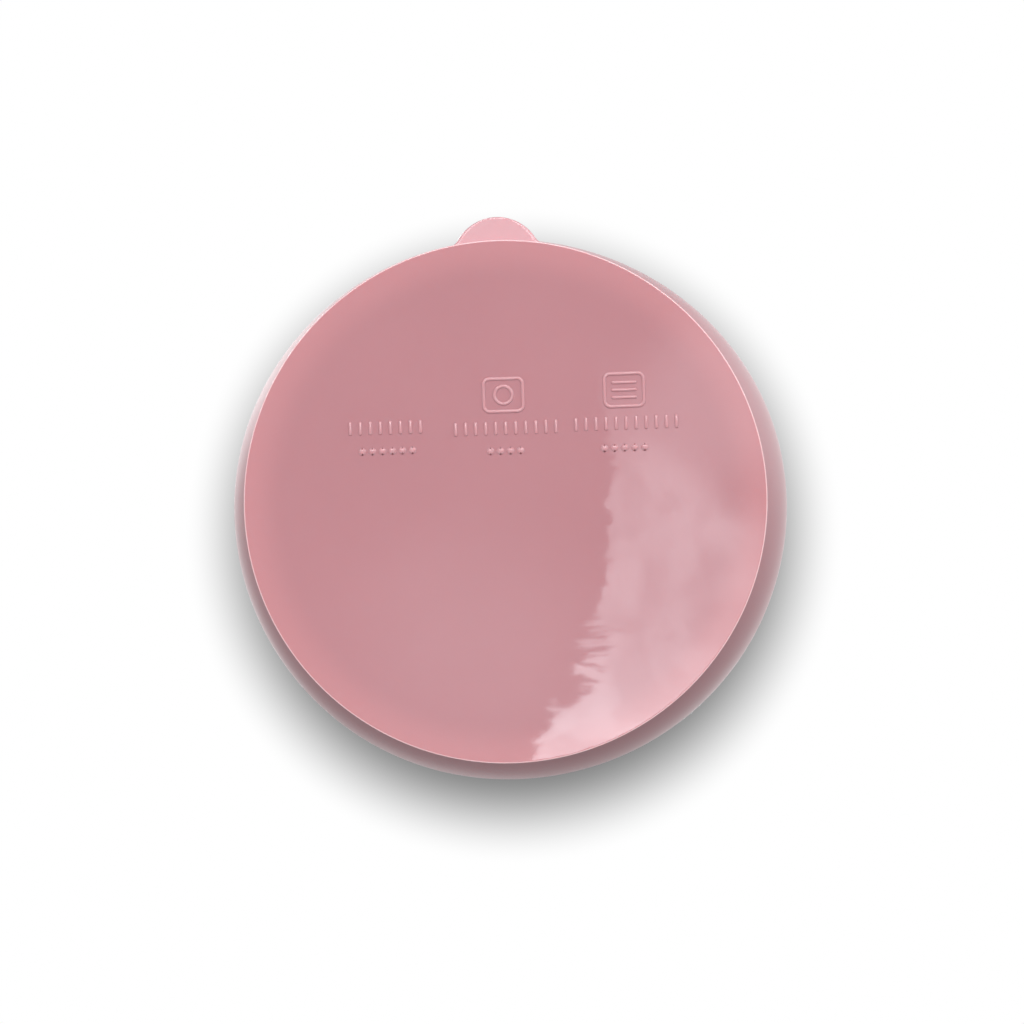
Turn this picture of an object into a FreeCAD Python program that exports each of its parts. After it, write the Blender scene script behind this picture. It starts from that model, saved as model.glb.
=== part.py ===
"""Silicone suction bowl for a baby: a deep round bowl bonded by a short neck to a thin suction disc.

The bowl stands on the table, +Z up, with its origin at the middle of the disc's underside. The pull tab
that breaks the seal points along -Y. Everything is soft silicone, so the joints are places where it flexes:
the disc's membrane is dished and flattens as the bowl is pressed down, and the tab bends up at its root.
"""

import FreeCAD, Part
import math
import os

import Sketcher

# Driving dimensions, in millimetres.
SIZES = {
    "bowl_radius": 62,
    "bowl_height": 56,
    "bowl_curve": 40.5,  # radius of the rounded side, seen in section
    "belly_height": 46,  # where the rounded side turns upright
    "wall": 3.4,
    "neck_sink": 2,  # how far the neck's blank reaches up past the bottom of the bowl
    "disc_radius": 56,
    "dish_depth": 1.8,  # height of the disc's underside above the table, at its middle
    "disc_thickness": 2.2,  # at its middle
    "edge_thickness": 0.9,
    "edge_round": 0.25,
    "land_width": 2.5,  # flat ring that seals on the table
    "lip_width": 8,
    "neck_radius": 34,
    "neck_hollow": 2,  # from the neck's rim out to the middle of the curve of its waisted side
    "tab_radius": 9.7,
    "tab_reach": 61.1,  # from the bowl's axis to the tab's tip
    "tab_flare": 3,  # radius where the tab's root spreads into the disc's edge
    "tab_thickness": 1.5,
    "tab_rise": 0.7,  # gap under the tab
    "tab_edge_round": 0.45,
    "root_start": 52.5,  # from the axis to the inner end of the tab's root
    "root_end": 56.4,  # from the axis to the line where the tab bends
    "mark_height": 0.3,
    "mark_stroke": 0.7,
    "mark_pitch": 2.15,
    "bar_length": 2.9,
    "dot_radius": 0.72,
    "column_pitch": 25.6,  # between the middles of neighbouring blocks of marks
    "column_shift": 0.5,
    "bar_row": 16.1,  # from the axis, towards the tab
    "dot_row": 11,
    "icon_row": 22.9,
    "icon_width": 8.6,
    "icon_height": 7.2,
    "ring_radius": 2.2,
    "stripe_length": 5,
    "stripe_pitch": 1.6,
}

# Each block of raised marks: its column, its bars and its dots.
MARK_COLUMNS = ((-1, 8, 6), (0, 11, 4), (1, 11, 5))
STRIPES = 3

doc = FreeCAD.newDocument("suction_bowl")


class Size:
    """A length with its spreadsheet expression, so that what is drawn and what drives it agree."""

    def __init__(self, text, value):
        self.text = text
        self.value = float(value)

    def __add__(self, other):
        return Size(f"({self.text} + {other.text})", self.value + other.value)

    def __sub__(self, other):
        return Size(f"({self.text} - {other.text})", self.value - other.value)

    def __mul__(self, factor):
        return Size(f"({self.text} * {factor})", self.value * factor)

    def __neg__(self):
        return self * -1


ZERO = Size("0 mm", 0)


def make_sheet():
    """Fill the spreadsheet of driving dimensions, and give each of them as a Size."""
    sheet = doc.addObject("Spreadsheet::Sheet", "sizes")
    for row, (name, value) in enumerate(SIZES.items(), start=1):
        sheet.set(f"A{row}", name)
        sheet.set(f"B{row}", str(value))
        sheet.setAlias(f"B{row}", name)
    doc.recompute()
    return {name: Size(f"sizes.{name} * 1 mm", sheet.get(name)) for name in SIZES}


size = make_sheet()
lip_inner = size["disc_radius"] - size["lip_width"]
land_inner = size["disc_radius"] - size["land_width"]
disc_top = size["dish_depth"] + size["disc_thickness"]
bowl_bottom = size["belly_height"] - size["bowl_curve"]


# Sketches


def origin_plane(body, role):
    return next(item for item in body.Origin.OriginFeatures if item.Role == role)


def new_sketch(body, role, name):
    """A sketch on one of the body's own origin planes."""
    sketch = body.newObject("Sketcher::SketchObject", name)
    sketch.AttachmentSupport = (origin_plane(body, role), [""])
    sketch.MapMode = "FlatFace"
    return sketch


def bind(sketch, constraint, length):
    index = sketch.addConstraint(constraint)
    sketch.setExpression(f"Constraints[{index}]", length.text)


def pin(sketch, piece, point, across=None, up=None):
    """Hold one point of a piece of the sketch at its distances from the sketch's origin."""
    if across is not None:
        bind(sketch, Sketcher.Constraint("DistanceX", -1, 1, piece, point, across.value), across)
    if up is not None:
        bind(sketch, Sketcher.Constraint("DistanceY", -1, 1, piece, point, up.value), up)


def vector(across, up):
    return FreeCAD.Vector(across.value, up.value, 0)


def arc_between(start, end, centre):
    """The arc from start to end, and whether it runs anticlockwise, by the shorter way round."""
    turn = (start - centre).cross(end - centre).z >= 0
    first, last = (start, end) if turn else (end, start)
    circle = Part.Circle(centre, FreeCAD.Vector(0, 0, 1), (start - centre).Length)
    angles = [math.atan2((p - centre).y, (p - centre).x) for p in (first, last)]
    return Part.ArcOfCircle(circle, *angles), turn


def draw_outline(sketch, steps):
    """Draw a closed outline. A step is a corner, or a corner and the centre of the arc that leads to it.

    A centre has one coordinate that is bound to the sheet; the other one follows from the arc's ends.
    """
    ends = []
    corners = [vector(*step[:2]) for step in steps]
    for index, step in enumerate(steps):
        start = corners[index - 1]
        if len(step) == 2:
            piece = sketch.addGeometry(Part.LineSegment(start, corners[index]))
            ends.append((piece, 1, 2))
        else:
            centre_across, centre_up = step[2:]
            centre = FreeCAD.Vector(*(getattr(c, "value", c) for c in (centre_across, centre_up)), 0)
            arc, anticlockwise = arc_between(start, corners[index], centre)
            piece = sketch.addGeometry(arc)
            ends.append((piece, 1, 2) if anticlockwise else (piece, 2, 1))
            if isinstance(centre_across, Size):
                pin(sketch, piece, 3, across=centre_across)
            else:
                pin(sketch, piece, 3, up=centre_up)
        pin(sketch, piece, ends[-1][2], *step[:2])
    for index, (piece, first, _) in enumerate(ends):
        before, _, last = ends[index - 1]
        sketch.addConstraint(Sketcher.Constraint("Coincident", before, last, piece, first))


def turned_body(label, steps):
    """A body turned about Z from an outline of radius and height."""
    body = doc.addObject("PartDesign::Body", label)
    sketch = new_sketch(body, "XZ_Plane", f"{label}_section")
    draw_outline(sketch, steps)
    turn = body.newObject("PartDesign::Revolution", f"{label}_turn")
    turn.Profile = sketch
    turn.ReferenceAxis = (sketch, ["V_Axis"])
    turn.Angle = 360
    doc.recompute()
    return body


def raise_pad(body, sketch, name):
    """A pad of the tab's thickness, standing clear of the table."""
    sketch.setExpression(".AttachmentOffset.Base.z", size["tab_rise"].text)
    pad = body.newObject("PartDesign::Pad", name)
    pad.Profile = sketch
    pad.setExpression("Length", size["tab_thickness"].text)
    doc.recompute()
    return pad


def boolean(kind, label, base, tool):
    result = doc.addObject(f"Part::{kind}", label)
    result.Base = base
    result.Tool = tool
    doc.recompute()
    return result


# Bowl and neck


def make_bowl():
    """A rounded bowl of even wall, with an upright brim and a fully rounded rim."""
    wall = size["wall"]
    outside, inside = size["bowl_radius"], size["bowl_radius"] - wall
    flat = size["bowl_radius"] - size["bowl_curve"]
    belly = size["belly_height"]
    rim, rim_middle = size["bowl_height"] - wall * 0.5, outside - wall * 0.5
    return turned_body("bowl_body", [
        (ZERO, bowl_bottom),
        (flat, bowl_bottom),
        (outside, belly, flat, belly.value),
        (outside, rim),
        (rim_middle, size["bowl_height"], rim_middle, rim.value),
        (inside, rim, rim_middle, rim.value),
        (inside, belly),
        (flat, bowl_bottom + wall, flat, belly.value),
        (ZERO, bowl_bottom + wall),
    ])


def make_neck(bowl):
    """The short waisted post under the bowl: the bowl's rounded bottom is cut from its top."""
    radius = size["neck_radius"]
    top = bowl_bottom + size["neck_sink"]
    blank = turned_body("neck_blank", [
        (ZERO, disc_top),
        (radius, disc_top),
        (radius, top, radius + size["neck_hollow"], ((disc_top + top) * 0.5).value),
        (ZERO, top),
    ])
    return boolean("Cut", "base_neck", blank, bowl)


# Suction disc


def dish_centre(middle):
    """The height of the centre of the dish's curve, for the height of the curve's middle."""
    depth = size["dish_depth"].value
    radius = (land_inner.value**2 + depth**2) / (2 * depth)
    return middle.value - radius


def make_disc():
    """The whole suction disc: dished below, thinning outwards to a rounded edge."""
    edge, round_size = size["disc_radius"], size["edge_round"]
    edge_top = size["edge_thickness"]
    depth = size["dish_depth"]
    return turned_body("disc_blank", [
        (ZERO, depth),
        (land_inner, ZERO, ZERO, dish_centre(depth)),
        (edge - round_size, ZERO),
        (edge, round_size, edge - round_size, round_size.value),
        (edge, edge_top - round_size),
        (edge - round_size, edge_top, edge - round_size, (edge_top - round_size).value),
        (size["neck_radius"], disc_top),
        (ZERO, disc_top),
    ])


def make_core():
    """The cylinder that parts the flexing membrane from the lip around it."""
    core = doc.addObject("Part::Cylinder", "membrane_core")
    core.setExpression("Radius", lip_inner.text)
    core.setExpression("Height", disc_top.text)
    doc.recompute()
    return core


# Pull tab


def tab_corner():
    """Half the tab's width at its root, for the first drawing of a sketch."""
    middle = size["tab_reach"].value - size["tab_radius"].value
    return math.sqrt(size["tab_radius"].value**2 - (size["root_end"].value - middle) ** 2)


def draw_tab_round(sketch, from_angle, to_angle):
    """An arc of the tab's rounded end."""
    middle = size["tab_radius"] - size["tab_reach"]
    circle = Part.Circle(vector(ZERO, middle), FreeCAD.Vector(0, 0, 1), size["tab_radius"].value)
    piece = sketch.addGeometry(Part.ArcOfCircle(circle, from_angle, to_angle))
    pin(sketch, piece, 3, ZERO, middle)
    bind(sketch, Sketcher.Constraint("Radius", piece, size["tab_radius"].value), size["tab_radius"])
    return piece


def make_tab():
    """The half-round tab, with softly rounded edges, up to the line where it bends."""
    body = doc.addObject("PartDesign::Body", "pull_tab")
    sketch = new_sketch(body, "XY_Plane", "tab_outline")
    middle = size["tab_reach"].value - size["tab_radius"].value
    corner, line = tab_corner(), -size["root_end"]
    slope = math.atan2(size["root_end"].value - middle, corner)
    arc = draw_tab_round(sketch, math.pi + slope, 2 * math.pi - slope)
    left, right = (FreeCAD.Vector(side * corner, line.value, 0) for side in (-1, 1))
    base = sketch.addGeometry(Part.LineSegment(left, right))
    pin(sketch, arc, 1, up=line)
    pin(sketch, arc, 2, up=line)
    sketch.addConstraint(Sketcher.Constraint("Coincident", base, 1, arc, 1))
    sketch.addConstraint(Sketcher.Constraint("Coincident", base, 2, arc, 2))
    pad = raise_pad(body, sketch, "tab_plate")
    rounds = body.newObject("PartDesign::Fillet", "tab_soft_edge")
    numbered = enumerate(pad.Shape.Edges, start=1)
    rounds.Base = (pad, [f"Edge{index}" for index, edge in numbered if isinstance(edge.Curve, Part.Circle)])
    rounds.setExpression("Radius", size["tab_edge_round"].text)
    doc.recompute()
    return body


def make_root(lip):
    """The tab's root: it lies on the lip, and spreads into it with a hollow flare on each side."""
    body = doc.addObject("PartDesign::Body", "root_blank")
    sketch = new_sketch(body, "XY_Plane", "root_outline")
    middle = size["tab_radius"] - size["tab_reach"]
    start, end, flare = -size["root_start"], -size["root_end"], size["tab_flare"]
    corner = tab_corner()
    slope = math.atan2((middle - end).value, corner)

    guide = draw_tab_round(sketch, -slope, 0)
    sketch.setConstruction(guide, True)
    pin(sketch, guide, 1, up=end)
    pin(sketch, guide, 2, up=middle)

    reach = size["tab_radius"].value + flare.value
    centre = FreeCAD.Vector(reach * math.cos(slope), middle.value - reach * math.sin(slope), 0)
    circle = Part.Circle(centre, FreeCAD.Vector(0, 0, 1), flare.value)
    hollow = sketch.addGeometry(Part.ArcOfCircle(circle, math.pi / 2, math.pi - slope))
    bind(sketch, Sketcher.Constraint("Radius", hollow, flare.value), flare)
    sketch.addConstraint(Sketcher.Constraint("Tangent", guide, 1, hollow, 2))
    sketch.addConstraint(Sketcher.Constraint("Vertical", hollow, 3, hollow, 1))

    bend = FreeCAD.Vector(corner, end.value, 0)
    shoulder = FreeCAD.Vector(centre.x, centre.y + flare.value, 0)
    inner = FreeCAD.Vector(centre.x, start.value, 0)
    path = [shoulder, inner, vector(ZERO, start), vector(ZERO, end), bend]
    lines = [sketch.addGeometry(Part.LineSegment(*pair)) for pair in zip(path, path[1:])]
    for before, after in zip(lines, lines[1:]):
        sketch.addConstraint(Sketcher.Constraint("Coincident", before, 2, after, 1))
    sketch.addConstraint(Sketcher.Constraint("Coincident", lines[0], 1, hollow, 1))
    sketch.addConstraint(Sketcher.Constraint("Coincident", lines[-1], 2, hollow, 2))
    sketch.addConstraint(Sketcher.Constraint("Vertical", lines[0]))
    pin(sketch, lines[0], 2, up=start)
    pin(sketch, lines[1], 2, ZERO, start)
    pin(sketch, lines[2], 2, ZERO, end)

    pad = raise_pad(body, sketch, "root_half")
    mirror = body.newObject("PartDesign::Mirrored", "root_whole")
    mirror.Originals = [pad]
    mirror.MirrorPlane = (origin_plane(body, "YZ_Plane"), [""])
    body.Tip = mirror
    doc.recompute()
    return boolean("Cut", "tab_root", body, lip)


# Raised marks


def place(solid, across, along):
    """Stand a mark's solid at a place given from the axis, along being the distance towards the tab."""
    solid.setExpression(".Placement.Base.x", across.text)
    solid.setExpression(".Placement.Base.y", (-along).text)


def block(name, across, along, width, length):
    """An upright block with its middle at a place."""
    box = doc.addObject("Part::Box", name)
    box.setExpression("Length", width.text)
    box.setExpression("Width", length.text)
    box.setExpression("Height", disc_top.text)
    place(box, across - width * 0.5, along + length * 0.5)
    return box


def post(name, across, along, radius):
    cylinder = doc.addObject("Part::Cylinder", name)
    cylinder.setExpression("Radius", radius.text)
    cylinder.setExpression("Height", disc_top.text)
    place(cylinder, across, along)
    return cylinder


def row_places(middle, pitch, count):
    """The places of a row of equal marks about its middle."""
    return [middle + pitch * (index - (count - 1) / 2) for index in range(count)]


def frame_icon(name, across):
    """A hollow rectangle round an icon."""
    stroke = size["mark_stroke"]
    width, height = size["icon_width"], size["icon_height"]
    outer = block(f"{name}_outer", across, size["icon_row"], width, height)
    inner = block(f"{name}_inner", across, size["icon_row"], width - stroke * 2, height - stroke * 2)
    return boolean("Cut", name, outer, inner)


def ring_icon(across):
    radius = size["ring_radius"]
    outer = post("ring_outer", across, size["icon_row"], radius)
    inner = post("ring_inner", across, size["icon_row"], radius - size["mark_stroke"])
    return [frame_icon("ring_frame", across), boolean("Cut", "ring", outer, inner)]


def stripe_icon(across):
    marks = [frame_icon("stripe_frame", across)]
    for index, along in enumerate(row_places(size["icon_row"], size["stripe_pitch"], STRIPES)):
        stripe = block(f"stripe_{index}", across, along, size["stripe_length"], size["mark_stroke"])
        marks.append(stripe)
    return marks


def make_marks():
    """Rows of bars and dots and two plain icons, all standing equally proud of the dished underside."""
    marks = []
    for column, bars, dots in MARK_COLUMNS:
        middle = size["column_shift"] + size["column_pitch"] * column
        for index, across in enumerate(row_places(middle, size["mark_pitch"], bars)):
            name = f"bar_{column + 1}_{index}"
            marks.append(block(name, across, size["bar_row"], size["mark_stroke"], size["bar_length"]))
        for index, across in enumerate(row_places(middle, size["mark_pitch"], dots)):
            marks.append(post(f"dot_{column + 1}_{index}", across, size["dot_row"], size["dot_radius"]))
    marks += ring_icon(size["column_shift"])
    marks += stripe_icon(size["column_shift"] + size["column_pitch"])
    columns = doc.addObject("Part::Compound", "mark_columns")
    columns.Links = marks

    depth, proud = size["dish_depth"], size["mark_height"]
    skin = turned_body("mark_skin", [
        (ZERO, depth - proud),
        (land_inner, -proud, ZERO, dish_centre(depth - proud)),
        (land_inner, ZERO),
        (ZERO, depth, ZERO, dish_centre(depth)),
    ])
    return boolean("Common", "care_marks", columns, skin)


# Whole bowl


def check_document():
    """Stop if any object of the document has failed."""
    failed = [item.Name for item in doc.Objects if {"Invalid", "Error"} & set(item.State)]
    if failed:
        raise RuntimeError(f"these objects failed: {failed}")
    for item in doc.Objects:
        if item.TypeId == "Sketcher::SketchObject" and not item.FullyConstrained:
            raise RuntimeError(f"{item.Name} is not fully constrained")


def export(piece):
    """Write one sub-part to its STEP file, once its shape is sound."""
    shape = piece.Shape
    if shape.isNull() or not shape.isValid() or not shape.Solids:
        raise RuntimeError(f"{piece.Label} has no sound solid")
    shape.exportStep(os.path.join("parts", f"{piece.Label}.step"))
    box = shape.BoundBox
    print(f"{piece.Label}: {len(shape.Solids)} solid(s), {shape.Volume / 1000:.2f} cm3, "
          f"x {box.XMin:.1f} {box.XMax:.1f}, y {box.YMin:.1f} {box.YMax:.1f}, "
          f"z {box.ZMin:.2f} {box.ZMax:.2f}")


def main():
    bowl = make_bowl()
    neck = make_neck(bowl)
    disc = make_disc()
    core = make_core()
    membrane = boolean("Common", "suction_membrane", disc, core)
    lip = boolean("Cut", "sealing_lip", disc, core)
    tab = make_tab()
    root = make_root(lip)
    marks = make_marks()
    doc.recompute()
    check_document()
    os.makedirs("parts", exist_ok=True)
    for piece in (bowl, neck, membrane, lip, root, tab, marks):
        export(piece)


main()
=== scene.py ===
"""Looks of the silicone suction bowl: its meshes, silicone materials, stage, lights and camera."""

import math

import bpy
import numpy as np
from mathutils import Matrix, Vector


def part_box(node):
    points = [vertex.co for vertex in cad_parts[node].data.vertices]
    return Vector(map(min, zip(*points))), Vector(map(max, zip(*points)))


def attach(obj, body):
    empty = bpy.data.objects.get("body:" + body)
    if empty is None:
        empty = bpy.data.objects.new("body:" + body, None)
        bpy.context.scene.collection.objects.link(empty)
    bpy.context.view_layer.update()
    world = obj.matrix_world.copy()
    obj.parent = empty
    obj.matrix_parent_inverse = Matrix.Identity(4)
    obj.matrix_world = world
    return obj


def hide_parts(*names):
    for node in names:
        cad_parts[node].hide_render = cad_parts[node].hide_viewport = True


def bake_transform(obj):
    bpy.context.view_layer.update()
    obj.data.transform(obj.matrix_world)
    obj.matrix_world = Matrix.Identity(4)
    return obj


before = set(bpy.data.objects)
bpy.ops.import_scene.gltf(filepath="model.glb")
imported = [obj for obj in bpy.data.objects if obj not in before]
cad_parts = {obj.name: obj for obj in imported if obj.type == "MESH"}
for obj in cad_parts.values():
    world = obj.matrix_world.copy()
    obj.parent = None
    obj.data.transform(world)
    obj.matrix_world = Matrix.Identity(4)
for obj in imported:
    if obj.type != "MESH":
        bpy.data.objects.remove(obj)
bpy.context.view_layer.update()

MM = 0.001

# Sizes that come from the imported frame.
BOWL_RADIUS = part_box("bowl_body")[1].x
BOWL_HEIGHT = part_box("bowl_body")[1].z
BOWL_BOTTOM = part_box("bowl_body")[0].z
DISC_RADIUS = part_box("sealing_lip")[1].x
DISC_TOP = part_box("suction_membrane")[1].z
NECK_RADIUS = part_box("base_neck")[1].x
TAB_REACH = -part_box("pull_tab")[0].y
TAB_BEND = -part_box("pull_tab")[1].y
TAB_BOTTOM, TAB_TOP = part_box("pull_tab")[0].z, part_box("pull_tab")[1].z
ROOT_START = -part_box("tab_root")[1].y

# Sizes of the shapes that replace the CAD solids.
BOWL_CURVE = 40.5 * MM
BELLY_HEIGHT = BOWL_BOTTOM + BOWL_CURVE
WALL = 3.4 * MM
DISH_DEPTH = 1.8 * MM
EDGE_THICKNESS = 0.9 * MM
EDGE_ROUND = 0.2 * MM
TAB_RADIUS = 9.7 * MM
TAB_FLARE = 3 * MM
MARK_HEIGHT = 0.3 * MM
MARK_STROKE = 0.7 * MM

# The bowl's soft wall: its oval at the brim, and the size, number and shift of each wave round it.
BRIM_WIDER = 0.004
BRIM_NARROWER = 0.020
BRIM_WAVES = ((0.0016, 3, 0.6), (0.0010, 5, 2.1))
RIM_SWAY = 0.25 * MM

PARTING_DEPTH = 1.2 * MM  # of the mould's parting line, below the rim's round
PARTING_HEIGHT = 0.09 * MM
PARTING_WIDTH = 0.22 * MM
NECK_FILLET = 3.8 * MM  # how far the neck's two ends run out past its radius
NECK_WAIST = 1.4 * MM
NECK_SUNK = 0.65 * MM  # below the disc's top
NECK_RISE = 5.2 * MM  # above the disc's top
TAB_EDGE = 0.45 * MM  # over which the tab's tip thins to a round edge
TAB_GROWTH = 3 * MM  # over which the tab's root rises out of the lip
ROOT_SUNK_UNDER = 0.5 * MM  # below the lip's upper side
ROOT_SUNK_OVER = 0.25 * MM

SEGMENTS = 288
DISH_EDGE = DISC_RADIUS - EDGE_ROUND
DISH_RADIUS = (DISH_EDGE**2 + DISH_DEPTH**2) / (2 * DISH_DEPTH)

# How far in from the disc's edge its painted glow starts and ends (light shining through the thin
# silicone), and then its painted rim highlight.
PAINTED_GLOW_ZONE = (9 * MM, 0.5 * MM)
PAINTED_RIM_HIGHLIGHT_ZONE = (0.35 * MM, 0.1 * MM)

# Silicone colours, from 0 to 255.
DISC_SHADES = ((174, 122, 128), (181, 129, 135))
# Painted light: the marks' shades are the disc's made paler, standing for the light that the raised
# strokes catch.
MARK_SHADES_PAINTED_LIGHTER = ((190, 138, 144), (197, 145, 151))
BOWL_SHADES = ((174, 128, 134), (180, 135, 141))
# Painted light: these paler colours stand for light shining through the thin edges of the disc, the tab
# and the marks; the tab's is also lighter for the lamp it faces.
DISC_PAINTED_GLOW = (190, 133, 138)
TAB_PAINTED_GLOW = (210, 163, 169)
MARK_PAINTED_GLOW = (200, 146, 151)
# Painted highlight: the bright line along the disc's rounded edge, where it catches the light.
PAINTED_RIM_HIGHLIGHT = (232, 194, 198)

# Least and greatest roughness of each finish of the disc, the tab and the marks.
GLOSSY = (0.012, 0.022)
SATIN = (0.33, 0.40)
TAB_GLOSS = (0.02, 0.04)
MARK_GLOSS = (0.13, 0.17)


# Meshes


def new_object(name, vertices, faces):
    """A smooth-shaded mesh object in metres, in the row frame."""
    mesh = bpy.data.meshes.new(name)
    mesh.from_pydata([tuple(v) for v in vertices], [], faces)
    mesh.validate()
    mesh.polygons.foreach_set("use_smooth", [True] * len(mesh.polygons))
    mesh.update()
    piece = bpy.data.objects.new(name, mesh)
    bpy.context.scene.collection.objects.link(piece)
    return piece


def turned_mesh(profile):
    """Vertices and faces of a closed solid turned about Z, from a profile that runs anticlockwise."""
    angles = np.linspace(0, 2 * math.pi, SEGMENTS, endpoint=False)
    rings = np.array(profile[1:-1])
    vertices = [(0, 0, profile[0][1]), (0, 0, profile[-1][1])]
    for radius, height in rings:
        vertices += [(radius * math.cos(a), radius * math.sin(a), height) for a in angles]
    faces = []
    last = 2 + (len(rings) - 1) * SEGMENTS
    for i in range(SEGMENTS):
        j = (i + 1) % SEGMENTS
        faces.append((0, 2 + j, 2 + i))
        faces.append((1, last + i, last + j))
        for ring in range(len(rings) - 1):
            low, high = 2 + ring * SEGMENTS, 2 + (ring + 1) * SEGMENTS
            faces.append((low + i, low + j, high + j, high + i))
    return np.array(vertices), faces


def arc(centre, radius, start, end, count):
    """Points of an arc, from start to end in degrees, in radius and height."""
    turns = np.radians(np.linspace(start, end, count))
    return [(centre[0] + radius * math.cos(t), centre[1] + radius * math.sin(t)) for t in turns]


def straight(start, end, count):
    """Points from start to end, without the two ends."""
    return [tuple(p) for p in np.linspace(start, end, count + 2)[1:-1]]


def bezier(points, count):
    p0, p1, p2, p3 = (np.array(p) for p in points)
    return [
        tuple(p0 * (1 - t) ** 3 + p1 * 3 * t * (1 - t) ** 2 + p2 * 3 * t * t * (1 - t) + p3 * t**3)
        for t in np.linspace(0, 1, count)
    ]


def smoothstep(low, high, x):
    t = np.clip((x - low) / (high - low), 0, 1)
    return t * t * (3 - 2 * t)


# Bowl


def soften_bowl(vertices):
    """Let the soft wall go slightly oval towards its brim, with the faint waves of a thin moulding."""
    x, y, z = vertices.T
    slack = smoothstep(BOWL_BOTTOM, BELLY_HEIGHT, z)
    turn = np.arctan2(y, x)
    wave = sum(size * np.cos(count * turn + shift) for size, count, shift in BRIM_WAVES)
    return np.column_stack((
        x * (1 + slack * (wave + BRIM_WIDER)),
        y * (1 + slack * (wave - BRIM_NARROWER)),
        z + RIM_SWAY * slack * np.cos(2 * turn + 1.0),
    ))


def build_bowl():
    """The bowl's wall, floor and rounded rim, with a fine parting line where the mould halves met."""
    flat = BOWL_RADIUS - BOWL_CURVE
    rim_round = WALL / 2
    rim_height = BOWL_HEIGHT - rim_round
    middle = (flat, BELLY_HEIGHT)
    inner_floor = BOWL_BOTTOM + WALL
    outside = arc(middle, BOWL_CURVE, -90, 0, 60)
    brim = straight((BOWL_RADIUS, BELLY_HEIGHT), (BOWL_RADIUS, rim_height), 40)
    parting = rim_height - PARTING_DEPTH
    brim = [
        (r + PARTING_HEIGHT * math.exp(-(((z - parting) / PARTING_WIDTH) ** 2)), z) for r, z in brim
    ]
    rim = arc((BOWL_RADIUS - rim_round, rim_height), rim_round, 0, 180, 17)
    upright = straight((BOWL_RADIUS - WALL, rim_height), (BOWL_RADIUS - WALL, BELLY_HEIGHT), 6)
    inside = arc(middle, BOWL_CURVE - WALL, 0, -90, 56)
    profile = [(0, BOWL_BOTTOM)] + straight((0, BOWL_BOTTOM), (flat, BOWL_BOTTOM), 4) + outside + brim
    profile += rim + upright + inside + straight((flat, inner_floor), (0, inner_floor), 10)
    profile.append((0, inner_floor))
    vertices, faces = turned_mesh(profile)
    return new_object("soft_bowl", soften_bowl(vertices), faces)


def build_neck():
    """The waisted neck, running out in a soft fillet onto the disc below and the bowl above."""
    end, waist = NECK_RADIUS + NECK_FILLET, NECK_RADIUS - NECK_WAIST
    low, high = DISC_TOP - NECK_SUNK, DISC_TOP + NECK_RISE
    side = bezier(((end, low), (waist, low + 0.9 * MM), (waist, high - 1.8 * MM), (end, high)), 24)
    profile = [(0, low)] + straight((0, low), (end, low), 4) + side
    profile += straight((end, high), (0, BOWL_BOTTOM + MM), 4) + [(0, BOWL_BOTTOM + MM)]
    return new_object("neck_collar", *turned_mesh(profile))


# Suction disc

# Height, wavelength, heading and shift of each wave in the underside.
UNEVENNESS = (
    (0.0055 * MM, 47 * MM, 0.4, 0.3),
    (0.0035 * MM, 31 * MM, 1.9, 1.1),
    (0.0012 * MM, 17 * MM, 1.2, 4.0),
    (0.0006 * MM, 11 * MM, 2.6, 2.2),
)


def dish_height(x, y):
    """Height of the disc's underside above the table, with the faint unevenness of a thin soft disc."""
    r = np.hypot(x, y)
    inner = np.sqrt(DISH_RADIUS**2 - np.minimum(r, DISH_EDGE) ** 2) - DISH_RADIUS + DISH_DEPTH
    waves = 0
    for amplitude, length, heading, shift in UNEVENNESS:
        along = x * math.cos(heading) + y * math.sin(heading)
        waves = waves + amplitude * np.sin(2 * math.pi * along / length + shift)
    return inner + waves * smoothstep(DISC_RADIUS, 0.8 * DISC_RADIUS, r)


def build_disc():
    """The dished disc, thin and round at its edge, in one soft skin."""
    under = [(r, 0) for r in np.linspace(MM, DISH_EDGE - EDGE_ROUND, 56)]
    edge = arc((DISH_EDGE, EDGE_ROUND), EDGE_ROUND, -90, 0, 7)
    edge += arc((DISH_EDGE, EDGE_THICKNESS - EDGE_ROUND), EDGE_ROUND, 0, 90, 7)
    top = straight((DISH_EDGE, EDGE_THICKNESS), (NECK_RADIUS, DISC_TOP), 24)
    crown = straight((NECK_RADIUS, DISC_TOP), (0, DISC_TOP), 8)
    profile = [(0, 0)] + under + edge + top + [(NECK_RADIUS, DISC_TOP)] + crown + [(0, DISC_TOP)]
    vertices, faces = turned_mesh(profile)
    below = vertices[:, 2] < 0.01 * MM
    vertices[below, 2] += np.maximum(dish_height(vertices[below, 0], vertices[below, 1]), 0)
    return new_object("suction_disc", vertices, faces)


def lip_top(y):
    """Height of the disc's sloping upper side, at a distance from the axis."""
    share = (DISC_RADIUS - y) / (DISC_RADIUS - NECK_RADIUS)
    return EDGE_THICKNESS + (DISC_TOP - EDGE_THICKNESS) * np.clip(share, 0, 1)


# Pull tab


def tab_half_width(reach):
    """Half the tab's width at a distance from the axis: a half round, flaring into the lip."""
    middle = TAB_REACH - TAB_RADIUS
    slope = math.asin((TAB_BEND - middle) / TAB_RADIUS)
    flare_out = (TAB_RADIUS + TAB_FLARE) * math.cos(slope)
    flare_along = middle + (TAB_RADIUS + TAB_FLARE) * math.sin(slope)
    if reach >= TAB_BEND:
        return math.sqrt(max(TAB_RADIUS**2 - (reach - middle) ** 2, 0))
    lift = min(flare_along - reach, TAB_FLARE)
    return flare_out - math.sqrt(TAB_FLARE**2 - lift**2)


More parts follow.
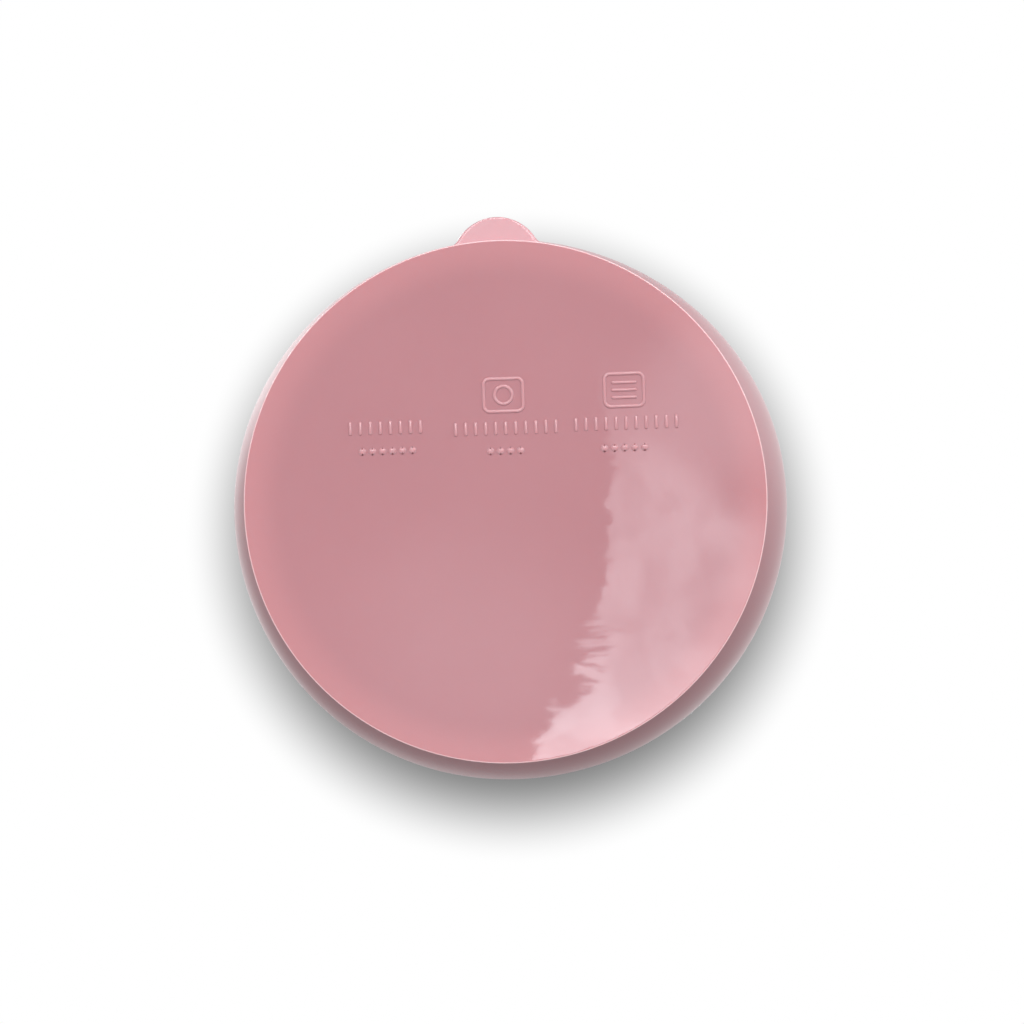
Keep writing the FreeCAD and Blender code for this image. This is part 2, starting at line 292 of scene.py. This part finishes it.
def tab_section(width, thickness, count):
    """A flat section with fully rounded sides, anticlockwise from its right side."""
    turns = np.linspace(0, 2 * math.pi, count, endpoint=False)
    c, s = np.cos(turns), np.sin(turns)
    nose = min(thickness / 2, width)
    flat = width - nose
    spread = np.sign(c) * np.abs(c) ** 0.45
    past = (np.abs(spread * width) - flat) / max(nose, 1e-9)
    rise = np.where(np.abs(spread * width) > flat, past, 0)
    return spread * width, np.sign(s) * np.sqrt(np.maximum(1 - rise**2, 0)) * thickness / 2


def sink_flare(x, reach, width, z):
    """Let the flare's ends run out flush with the lip's upper side."""
    radius = math.hypot(x, reach)
    surface = lip_top(radius) - 0.04 * MM
    if z < surface:
        return z
    outward = smoothstep(0.55, 1.0, abs(x) / width)
    inward = smoothstep(-0.3 * MM, 1.6 * MM, DISC_RADIUS - radius)
    return surface + (z - surface) * (1 - outward * inward)


def build_tab():
    """The half-round tab: it grows out of the lip's upper side, and thins to a round edge."""
    count = 72
    middle = TAB_REACH - TAB_RADIUS
    bend_turn = math.asin((TAB_BEND - middle) / TAB_RADIUS)
    reaches = list(np.linspace(ROOT_START, TAB_BEND, 26)[:-1])
    turns = np.linspace(bend_turn, math.pi / 2, 40)[:-1]
    reaches += [middle + TAB_RADIUS * math.sin(t) for t in turns]
    vertices = []
    for reach in reaches:
        grown = smoothstep(ROOT_START, ROOT_START + TAB_GROWTH, reach)
        left = (TAB_REACH - reach) / TAB_EDGE
        thin = math.sqrt(max(1 - (1 - min(left, 1)) ** 2, 0))
        under = max(lip_top(reach) - ROOT_SUNK_UNDER, TAB_BOTTOM) if reach < DISC_RADIUS else TAB_BOTTOM
        over = lip_top(reach) - ROOT_SUNK_OVER + grown * (TAB_TOP - lip_top(reach) + ROOT_SUNK_OVER)
        centre, thickness = (under + over) / 2, (over - under) * thin
        width = tab_half_width(reach)
        across, rise = tab_section(width, thickness, count)
        vertices += [
            (x, -reach, sink_flare(x, reach, width, centre + z)) for x, z in zip(across, rise)
        ]
    faces = [tuple(range(count))]
    for row in range(len(reaches) - 1):
        low, high = row * count, (row + 1) * count
        for i in range(count):
            j = (i + 1) % count
            faces.append((low + j, low + i, high + i, high + j))
    tip = len(vertices)
    vertices.append((0, -TAB_REACH, (TAB_BOTTOM + TAB_TOP) / 2))
    last = (len(reaches) - 1) * count
    faces += [(last + (i + 1) % count, last + i, tip) for i in range(count)]
    return new_object("lift_tab", vertices, faces)


# Raised marks

# Middle of each block of marks: across, distance from the axis towards the tab, and how many.
BAR_ROWS = ((-25.2, 16.6, 8), (0.6, 15.7, 11), (26.4, 15.9, 11))
DOT_ROWS = ((-24.9, 11.6, 6), (0.4, 10.8, 4), (25.9, 10.6, 5))
MARK_PITCH = 2.15
BAR_LENGTH = 2.9
DOT_RADIUS = 0.72
ICON_HALF = (4.2, 3.5)
ICON_CORNER = 1.2
RING_MIDDLE = (0.3, 22.8)
STRIPE_MIDDLE = (26.2, 23.0)
RING_RADIUS = 1.9
STRIPE_HALF, STRIPE_GAP = 2.4, 1.6
STRIPE_STROKE = 0.9  # share of the other strokes' width


class Marks:
    """Collects raised strokes as closed little solids, standing on the dished underside."""

    # Each step of a stroke's cross-section: share of its half width, and share of its height.
    SECTION = ((1.35, -0.35), (1.15, 0.04), (0.98, 0.42), (0.78, 0.8), (0.45, 0.98))

    def __init__(self):
        self.vertices = []
        self.faces = []

    def add_ring(self, points, rise):
        """A closed ring of points, given in millimetres, at a share of the marks' height."""
        start = len(self.vertices)
        for across, towards_tab in points:
            x, y = across * MM, -towards_tab * MM
            self.vertices.append((x, y, float(dish_height(x, y)) - rise * MARK_HEIGHT))
        return list(range(start, len(self.vertices)))

    def join(self, low, high):
        for i in range(len(low)):
            j = (i + 1) % len(low)
            self.faces.append((low[i], low[j], high[j], high[i]))

    def stroke(self, start, end, half_width):
        """A straight stroke with round ends; a dot is one whose ends are the same point."""
        start, end = Vector(start), Vector(end)
        heading = math.atan2(*(end - start).yx) if (end - start).length else 0
        rings = []
        for width, rise in self.SECTION:
            ring = []
            for centre, first in ((end, -90), (start, 90)):
                for turn in np.radians(np.linspace(first, first + 180, 9)) + heading:
                    ring.append(centre + half_width * width * Vector((math.cos(turn), math.sin(turn))))
            rings.append(self.add_ring(ring, rise))
        for low, high in zip(rings, rings[1:]):
            self.join(low, high)
        self.faces.append(tuple(rings[0][::-1]))
        self.faces.append(tuple(rings[-1]))

    def loop(self, points, half_width):
        """A stroke along a closed smooth path."""
        points = np.array(points)
        ahead = np.roll(points, -1, axis=0) - np.roll(points, 1, axis=0)
        side = np.column_stack((ahead[:, 1], -ahead[:, 0])) / np.linalg.norm(ahead, axis=1)[:, None]
        steps = list(self.SECTION) + [(-width, rise) for width, rise in reversed(self.SECTION)]
        rings = [self.add_ring(points + side * half_width * width, rise) for width, rise in steps]
        for low, high in zip(rings, rings[1:] + rings[:1]):
            self.join(low, high)


def rounded_rectangle(centre, half, corner):
    points = []
    for index, (sx, sy) in enumerate(((1, 1), (-1, 1), (-1, -1), (1, -1))):
        middle = (centre[0] + sx * (half[0] - corner), centre[1] + sy * (half[1] - corner))
        points += arc(middle, corner, index * 90, index * 90 + 90, 8)
    return points


def build_marks():
    """Rows of bars and dots and two plain icons, moulded proud of the disc's underside."""
    marks = Marks()
    half = MARK_STROKE / MM / 2
    for across, along, count in BAR_ROWS:
        for index in range(count):
            x = across + MARK_PITCH * (index - (count - 1) / 2)
            reach = BAR_LENGTH / 2 - half
            marks.stroke((x, along - reach), (x, along + reach), half)
    for across, along, count in DOT_ROWS:
        for index in range(count):
            x = across + MARK_PITCH * (index - (count - 1) / 2)
            marks.stroke((x, along), (x, along), DOT_RADIUS)
    for centre in (RING_MIDDLE, STRIPE_MIDDLE):
        marks.loop(rounded_rectangle(centre, ICON_HALF, ICON_CORNER), half)
    marks.loop(arc(RING_MIDDLE, RING_RADIUS, 0, 360, 37)[:-1], half)
    for step in (-1, 0, 1):
        height = STRIPE_MIDDLE[1] + step * STRIPE_GAP
        left, right = STRIPE_MIDDLE[0] - STRIPE_HALF, STRIPE_MIDDLE[0] + STRIPE_HALF
        marks.stroke((left, height), (right, height), half * STRIPE_STROKE)
    return new_object("moulded_marks", marks.vertices, marks.faces)


# Materials


def linear(colour):
    """A linear colour from the usual 0 to 255 values, each of them above 10."""
    return tuple(((value / 255 + 0.055) / 1.055) ** 2.4 for value in colour) + (1.0,)


class Tree:
    """A short way to add nodes to a material and link them."""

    def __init__(self, material):
        self.nodes = material.node_tree.nodes
        self.links = material.node_tree.links
        self.nodes.clear()

    def add(self, kind, settings=None, **inputs):
        """A node; an input's value is a number, a colour or another node's output."""
        node = self.nodes.new(f"ShaderNode{kind}")
        for name, value in (settings or {}).items():
            setattr(node, name, value)
        for name, value in inputs.items():
            index = name.replace("_", " ")
            socket = node.inputs[int(index[1:])] if index[1:].isdigit() else node.inputs[index]
            self.feed(socket, value)
        return node

    def feed(self, socket, value):
        """Link a socket to another node's output, or set its number or colour."""
        if isinstance(value, bpy.types.NodeSocket):
            self.links.new(value, socket)
        else:
            socket.default_value = value

    def mix(self, share, first, second):
        """The result of mixing two colours, by a number or another node's output."""
        return self.add("Mix", {"data_type": "RGBA"}, i0=share, i6=first, i7=second).outputs[2]

    def ramp(self, value, from_low, from_high, to_low=0.0, to_high=1.0):
        """A value carried smoothly from one span to another."""
        return self.add(
            "MapRange", {"interpolation_type": "SMOOTHSTEP"}, Value=value,
            From_Min=from_low, From_Max=from_high, To_Min=to_low, To_Max=to_high,
        ).outputs["Result"]

    def math(self, operation, *values):
        """The result of one sum on numbers or other nodes' outputs."""
        node = self.add("Math", {"operation": operation})
        for socket, value in zip(node.inputs, values):
            self.feed(socket, value)
        return node.outputs[0]

    def noise(self, place, scale, detail=3.0, stretch=(1, 1, 1)):
        mapped = self.add("Mapping", Vector=place, Scale=tuple(scale * s for s in stretch))
        node = self.add("TexNoise", Vector=mapped.outputs["Vector"], Scale=1.0, Detail=detail)
        return node.outputs["Fac"]


def new_material(name):
    material = bpy.data.materials.new(name)
    material.use_nodes = True
    return material, Tree(material)


def disc_material(name, shades, painted_glow_colour, gloss, with_painted_rim_highlight=False):
    """Smooth silicone: deep pink where it is thick, and warmer and paler towards the thin edge with
    painted light shining through it, optionally with a painted highlight along the rim.
    """
    material, tree = new_material(name)
    place = tree.add("TexCoord").outputs["Object"]
    flat = tree.add("VectorMath", {"operation": "MULTIPLY"}, i0=place, i1=(1, 1, 0)).outputs[0]
    radius = tree.add("VectorMath", {"operation": "LENGTH"}, i0=flat).outputs["Value"]
    cloud = tree.noise(place, 22.0, 2.0)
    body = tree.mix(cloud, *map(linear, shades))
    # Painted glow: paler towards the thin edge, for light shining through the silicone.
    thin = tree.ramp(radius, *(DISC_RADIUS - inset for inset in PAINTED_GLOW_ZONE))
    colour = tree.mix(thin, body, linear(painted_glow_colour))
    # Painted highlight along the disc's rim.
    if with_painted_rim_highlight:
        rim = tree.ramp(radius, *(DISC_RADIUS - inset for inset in PAINTED_RIM_HIGHLIGHT_ZONE))
        colour = tree.mix(rim, colour, linear(PAINTED_RIM_HIGHLIGHT))
    wobble = tree.noise(place, 280.0, 1.0)
    bump = tree.add("Bump", Strength=1.0, Distance=0.0008 * MM, Height=wobble)
    streaks = tree.noise(place, 1000.0, 0.0, (0.12, 0.8, 0.1))
    bump = tree.add(
        "Bump", Strength=1.0, Distance=0.0004 * MM, Height=streaks, Normal=bump.outputs["Normal"]
    )
    grain = tree.noise(place, 2600.0, 2.0)
    shader = tree.add(
        "BsdfPrincipled", Base_Color=colour, Normal=bump.outputs["Normal"],
        Roughness=tree.ramp(grain, 0.2, 0.8, *gloss),
        IOR=1.43, Subsurface_Weight=0.25, Subsurface_Scale=1.2 * MM,
        Subsurface_Radius=(1.0, 0.45, 0.4),
    )
    tree.add("OutputMaterial", Surface=shader.outputs[0])
    return material


def bowl_material():
    """Matte silicone with a soft bloom, very slightly mottled."""
    material, tree = new_material("matte_silicone")
    place = tree.add("TexCoord").outputs["Object"]
    cloud = tree.noise(place, 30.0, 3.0)
    colour = tree.mix(cloud, *map(linear, BOWL_SHADES))
    grain = tree.noise(place, 3200.0, 3.0)
    bump = tree.add("Bump", Strength=0.35, Distance=0.02 * MM, Height=grain)
    shader = tree.add(
        "BsdfPrincipled", Base_Color=colour, Normal=bump.outputs["Normal"],
        Roughness=tree.ramp(cloud, 0.3, 0.7, 0.50, 0.58), IOR=1.43,
        Subsurface_Weight=0.25, Subsurface_Scale=1.5 * MM, Subsurface_Radius=(1.0, 0.45, 0.4),
        Sheen_Weight=0.5, Sheen_Roughness=0.3,
    )
    tree.add("OutputMaterial", Surface=shader.outputs[0])
    return material


# Stage

ROOM_LIGHT = 0.42
LAMP_TARGET = Vector((0, 0, 20 * MM))

# The painted shadow round the bowl on the sheet behind it: a soft grey halo in the sheet's glow, cast
# by no lamp.
PAINTED_SHADOW_MIDDLE = (0.2 * MM, 5.4 * MM)
PAINTED_SHADOW_START = BOWL_RADIUS - 9 * MM
PAINTED_SHADOW_END = BOWL_RADIUS + 13.5 * MM
PAINTED_SHADOW_DEEPEST = 0.225


def flat_disc(name, radius, height):
    """A level disc of rings that lie closer together towards its middle."""
    rings, count = 24, 96
    vertices, faces = [(0, 0, height)], []
    for ring in range(1, rings + 1):
        r = radius * (ring / rings) ** 2
        turns = np.linspace(0, 2 * math.pi, count, endpoint=False)
        vertices += [(r * math.cos(t), r * math.sin(t), height) for t in turns]
    for i in range(count):
        j = (i + 1) % count
        faces.append((0, 1 + i, 1 + j))
        for ring in range(rings - 1):
            low, high = 1 + ring * count, 1 + (ring + 1) * count
            faces.append((low + i, high + i, high + j, low + j))
    return new_object(name, vertices, faces)


def gap_from(tree, place, across, away):
    """Distance of a level place from one spot."""
    spot = (across, away, 0)
    return tree.add("VectorMath", {"operation": "DISTANCE"}, i0=place, i1=spot).outputs["Value"]


def radius_from(tree, across, away):
    """How far a point lies from an upright line."""
    place = tree.add("TexCoord").outputs["Object"]
    flat = tree.add("VectorMath", {"operation": "MULTIPLY"}, i0=place, i1=(1, 1, 0)).outputs[0]
    return gap_from(tree, flat, across, away)


def one_sided(tree, shader):
    """Show a shader on the upper side only, and nothing from the other side."""
    back = tree.add("NewGeometry").outputs["Backfacing"]
    clear = tree.add("BsdfTransparent")
    whole = tree.add("MixShader", i0=back, i1=shader.outputs[0], i2=clear.outputs[0])
    tree.add("OutputMaterial", Surface=whole.outputs[0])


def floor_material():
    """Pale and matte, fading far out into the backdrop's white."""
    material, tree = new_material("pale_floor")
    lit = tree.add("BsdfDiffuse", Color=(0.58, 0.58, 0.58, 1))
    white = tree.add("Emission", Color=(1, 1, 1, 1), Strength=1.0)
    far = tree.ramp(radius_from(tree, 0, 0), 0.15, 1.1)
    one_sided(tree, tree.add("MixShader", i0=far, i1=lit.outputs[0], i2=white.outputs[0]))
    return material


def sheet_material():
    """A white glowing sheet, with a painted shadow: the soft grey halo round the bowl, drawn into its
    glow.
    """
    material, tree = new_material("sheet_with_painted_shadow")
    radius = radius_from(tree, *PAINTED_SHADOW_MIDDLE)
    # Painted shadow: the sheet's glow dims towards the bowl.
    glow = tree.ramp(radius, PAINTED_SHADOW_START, PAINTED_SHADOW_END, PAINTED_SHADOW_DEEPEST, 1.0)
    one_sided(tree, tree.add("Emission", Color=(1, 1, 1, 1), Strength=glow))
    return material


def build_stage():
    """A pale floor under the bowl, and a white sheet with a painted shadow at its rim that only a view
    from below sees.
    """
    floor = flat_disc("floor", 3.0, 0)
    floor.data.materials.append(floor_material())
    sheet = flat_disc("rim_sheet", 0.12, BOWL_HEIGHT + 0.3 * MM)
    sheet.data.flip_normals()
    sheet.data.materials.append(sheet_material())
    for surface in (floor, sheet):
        surface.visible_shadow = False
        surface.visible_transmission = False
        surface.visible_glossy = False
    floor.visible_diffuse = False


def area_light(name, place, size, power):
    """A rectangular lamp that faces the bowl."""
    data = bpy.data.lights.new(name, "AREA")
    data.shape = "RECTANGLE"
    data.size, data.size_y = size
    data.energy = power
    lamp = bpy.data.objects.new(name, data)
    lamp.location = place
    lamp.rotation_mode = "QUATERNION"
    lamp.rotation_quaternion = (LAMP_TARGET - Vector(place)).to_track_quat("-Z", "Y")
    bpy.context.scene.collection.objects.link(lamp)


CAMERA_PLACE = Vector((19 * MM, 34 * MM, -822 * MM))
CAMERA_LENS = 135.4
CAMERA_ROLL = math.radians(1.9)
AIM = Vector((1.37 * MM, 2.4 * MM, 0))

# The card whose glow is mirrored in the disc, and how the dished disc maps itself onto it.
CARD_DEPTH = 0.4
CARD_STRETCH = 1 + CARD_DEPTH / -CAMERA_PLACE.z - 2 * CARD_DEPTH / DISH_RADIUS
CARD_SHIFT = CAMERA_PLACE.xy * (CARD_DEPTH / CAMERA_PLACE.z)

# Near edge of the mirrored window where it shows on the disc, in millimetres: each point's
# distance away from the tab, and across.
WINDOW_EDGE = (
    (-25, 20.5), (-10, 22.0), (-4, 22.6), (2, 20.6), (10, 20.4), (15, 21.4), (19, 20.2), (23, 17.2),
    (27, 17.4), (36, 15.8), (39, 15.4), (43, 9.6), (51, 5.4), (58, 2.0),
)
CURVE_START, CURVE_SPAN, CURVE_WIDTH = -30, 90, 30  # the span that holds the points above
CARD_REACH = 60  # half the card's side, in millimetres on the disc


def build_card():
    """A card below the bowl that only gloss sees, with the glow of a window and a pale room."""
    corners = [Vector(corner) * CARD_REACH for corner in ((-1, -1), (-1, 1), (1, 1), (1, -1))]
    places = [corner * MM * CARD_STRETCH + CARD_SHIFT for corner in corners]
    vertices = [(place.x, place.y, -CARD_DEPTH) for place in places]
    card = new_object("window_card", vertices, [(0, 1, 2, 3)])
    material, tree = new_material("window_glow")
    place = tree.add("TexCoord").outputs["Object"]
    scale = 1 / (CARD_STRETCH * MM)
    on_disc = tree.add(
        "VectorMath", {"operation": "MULTIPLY_ADD"}, i0=place, i1=(scale, scale, 0),
        i2=(-CARD_SHIFT.x * scale, -CARD_SHIFT.y * scale, 0),
    ).outputs[0]
    glow = tree.math("ADD", room_glow(tree, on_disc), window_glow(tree, on_disc))
    emission = tree.add("Emission", Color=(0.91, 0.98, 1.03, 1), Strength=glow)
    tree.add("OutputMaterial", Surface=emission.outputs[0])
    card.data.materials.append(material)
    card.visible_camera = False
    card.visible_diffuse = False
    card.visible_transmission = False
    card.visible_shadow = False


def window_edge(tree, away):
    """How far across the window starts, at a distance away from the tab."""
    share = tree.add("MapRange", Value=away, From_Min=CURVE_START, From_Max=CURVE_START + CURVE_SPAN)
    node = tree.add("FloatCurve", Value=share.outputs["Result"])
    points = node.mapping.curves[0].points
    places = [((at - CURVE_START) / CURVE_SPAN, across / CURVE_WIDTH) for at, across in WINDOW_EDGE]
    for point, place in zip(points, (places[0], places[-1])):
        point.location = place
    for place in places[1:-1]:
        points.new(*place)
    node.mapping.update()
    return tree.math("MULTIPLY", node.outputs["Value"], CURVE_WIDTH)


def window_glow(tree, on_disc):
    """Ragged at its near edge, brightest away from the tab, and fading out towards the tab."""
    split = tree.add("SeparateXYZ", Vector=on_disc)
    across, away = split.outputs["X"], split.outputs["Y"]
    ragged = tree.ramp(tree.noise(on_disc, 1.0, 1.0, (0.11, 0.75, 0)), 0.25, 0.75, -1.0, 1.0)
    wider, narrower = tree.ramp(away, 22, 29, 0.8, 6.5), tree.ramp(away, 39, 46, 1.0, 0.25)
    reach = tree.math("MULTIPLY", wider, narrower)
    depth = tree.math("SUBTRACT", across, window_edge(tree, away))
    depth = tree.math("ADD", depth, tree.math("MULTIPLY", ragged, reach))
    inside = tree.ramp(depth, -0.22, 0.22)
    near = tree.ramp(away, -34, 8, 0.1, 4.7)
    brighter, fainter = tree.ramp(away, 24, 50, 0.0, 4.5), tree.ramp(across, 30, 42, 1.0, 0.3)
    far = tree.math("MULTIPLY", brighter, fainter)
    bright = tree.math("ADD", near, far)
    slant = tree.math("MULTIPLY_ADD", across, -1.2, away)
    corner = tree.ramp(slant, -66, -44, 0.05, 1.0)
    clouds = tree.ramp(tree.noise(on_disc, 0.09, 3.0), 0.36, 0.62, 0.74, 1.12)
    patch = tree.ramp(gap_from(tree, on_disc, 44, 20), 3, 8, 0.75, 1.0)
    glow = tree.math("MULTIPLY", bright, inside)
    for share in (corner, clouds, patch):
        glow = tree.math("MULTIPLY", glow, share)
    return glow


def room_glow(tree, on_disc):
    """The room's own light, with a broad paler area away from the tab and a small one at the side."""
    broad = tree.ramp(gap_from(tree, on_disc, -8, 32), 42, 4, ROOM_LIGHT, ROOM_LIGHT + 1.3)
    small = tree.ramp(gap_from(tree, on_disc, 46, -21), 24, 8, 0.0, 1.8)
    return tree.math("ADD", broad, small)


def build_lights():
    """Lamps below the bowl light what the camera sees, and those above light it from other sides."""
    area_light("low_key", (0.1, -0.62, -1.45), (1.6, 0.7), 27)
    area_light("side_light", (1.1, -0.7, -0.35), (0.6, 0.6), 2.9)
    area_light("low_fill", (-0.8, 0.7, -0.5), (0.8, 0.8), 0.5)
    area_light("high_key", (-0.75, -0.5, 1.2), (0.5, 0.5), 6.5)
    area_light("high_side", (0.95, -0.45, 0.8), (0.7, 0.7), 3.4)
    area_light("high_top", (0, 0, 1.3), (0.22, 0.22), 14)
    area_light("high_back", (-0.2, 0.5, 1.3), (0.3, 0.3), 0.7)


def build_world():
    """White to the camera, and a softer grey as light."""
    world = bpy.data.worlds.new("studio")
    bpy.context.scene.world = world
    world.use_nodes = True
    tree = Tree(world)
    seen = tree.add("Background", Color=(1, 1, 1, 1), Strength=1.0)
    light = tree.add("Background", Color=(1, 1, 1, 1), Strength=ROOM_LIGHT)
    camera_ray = tree.add("LightPath").outputs["Is Camera Ray"]
    both = tree.add("MixShader", i0=camera_ray, i1=light.outputs[0], i2=seen.outputs[0])
    tree.add("OutputWorld", Surface=both.outputs[0])


def build_camera():
    """The camera below the bowl, turned so that the tab points up in the picture."""
    data = bpy.data.cameras.new("camera")
    data.lens = CAMERA_LENS
    data.sensor_width = 36
    data.clip_start, data.clip_end = 0.01, 20
    camera = bpy.data.objects.new("camera", data)
    bpy.context.scene.collection.objects.link(camera)
    ahead = (AIM - CAMERA_PLACE).normalized()
    up = Vector((math.sin(CAMERA_ROLL), -math.cos(CAMERA_ROLL), 0))
    right = ahead.cross(up).normalized()
    up = right.cross(ahead)
    turn = Matrix((right, up, -ahead)).transposed()
    camera.matrix_world = Matrix.Translation(CAMERA_PLACE) @ turn.to_4x4()
    bpy.context.scene.camera = camera


def main():
    bowl, neck, disc = build_bowl(), build_neck(), build_disc()
    tab, marks = build_tab(), build_marks()
    matte = bowl_material()
    glossy = disc_material("glossy_silicone", DISC_SHADES, DISC_PAINTED_GLOW, GLOSSY, with_painted_rim_highlight=True)
    satin = disc_material("satin_silicone", DISC_SHADES, DISC_PAINTED_GLOW, SATIN, with_painted_rim_highlight=True)
    tab_gloss_and_painted_glow = disc_material("tab_silicone", DISC_SHADES, TAB_PAINTED_GLOW, TAB_GLOSS)
    # The marks' material is the disc's with paler shades: painted light on the raised strokes.
    mark_gloss_and_painted_light = disc_material("mark_silicone", MARK_SHADES_PAINTED_LIGHTER, MARK_PAINTED_GLOW, MARK_GLOSS)
    for piece in (bowl, neck):
        piece.data.materials.append(matte)
        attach(piece, "bowl")
    for piece, finish_with_painted_light in ((disc, glossy), (tab, tab_gloss_and_painted_glow), (marks, mark_gloss_and_painted_light)):
        piece.data.materials.append(finish_with_painted_light)
    disc.data.materials.append(satin)
    for face in disc.data.polygons:
        face.material_index = int(face.normal.z > 0)
    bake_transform(disc)
    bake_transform(marks)
    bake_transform(tab)
    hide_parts("bowl_body")
    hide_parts("base_neck")
    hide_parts("sealing_lip", "suction_membrane")
    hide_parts("tab_root", "pull_tab")
    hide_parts("care_marks")
    build_stage()
    build_card()
    build_lights()
    build_world()
    build_camera()
    bpy.context.scene.view_settings.view_transform = "Standard"


main()
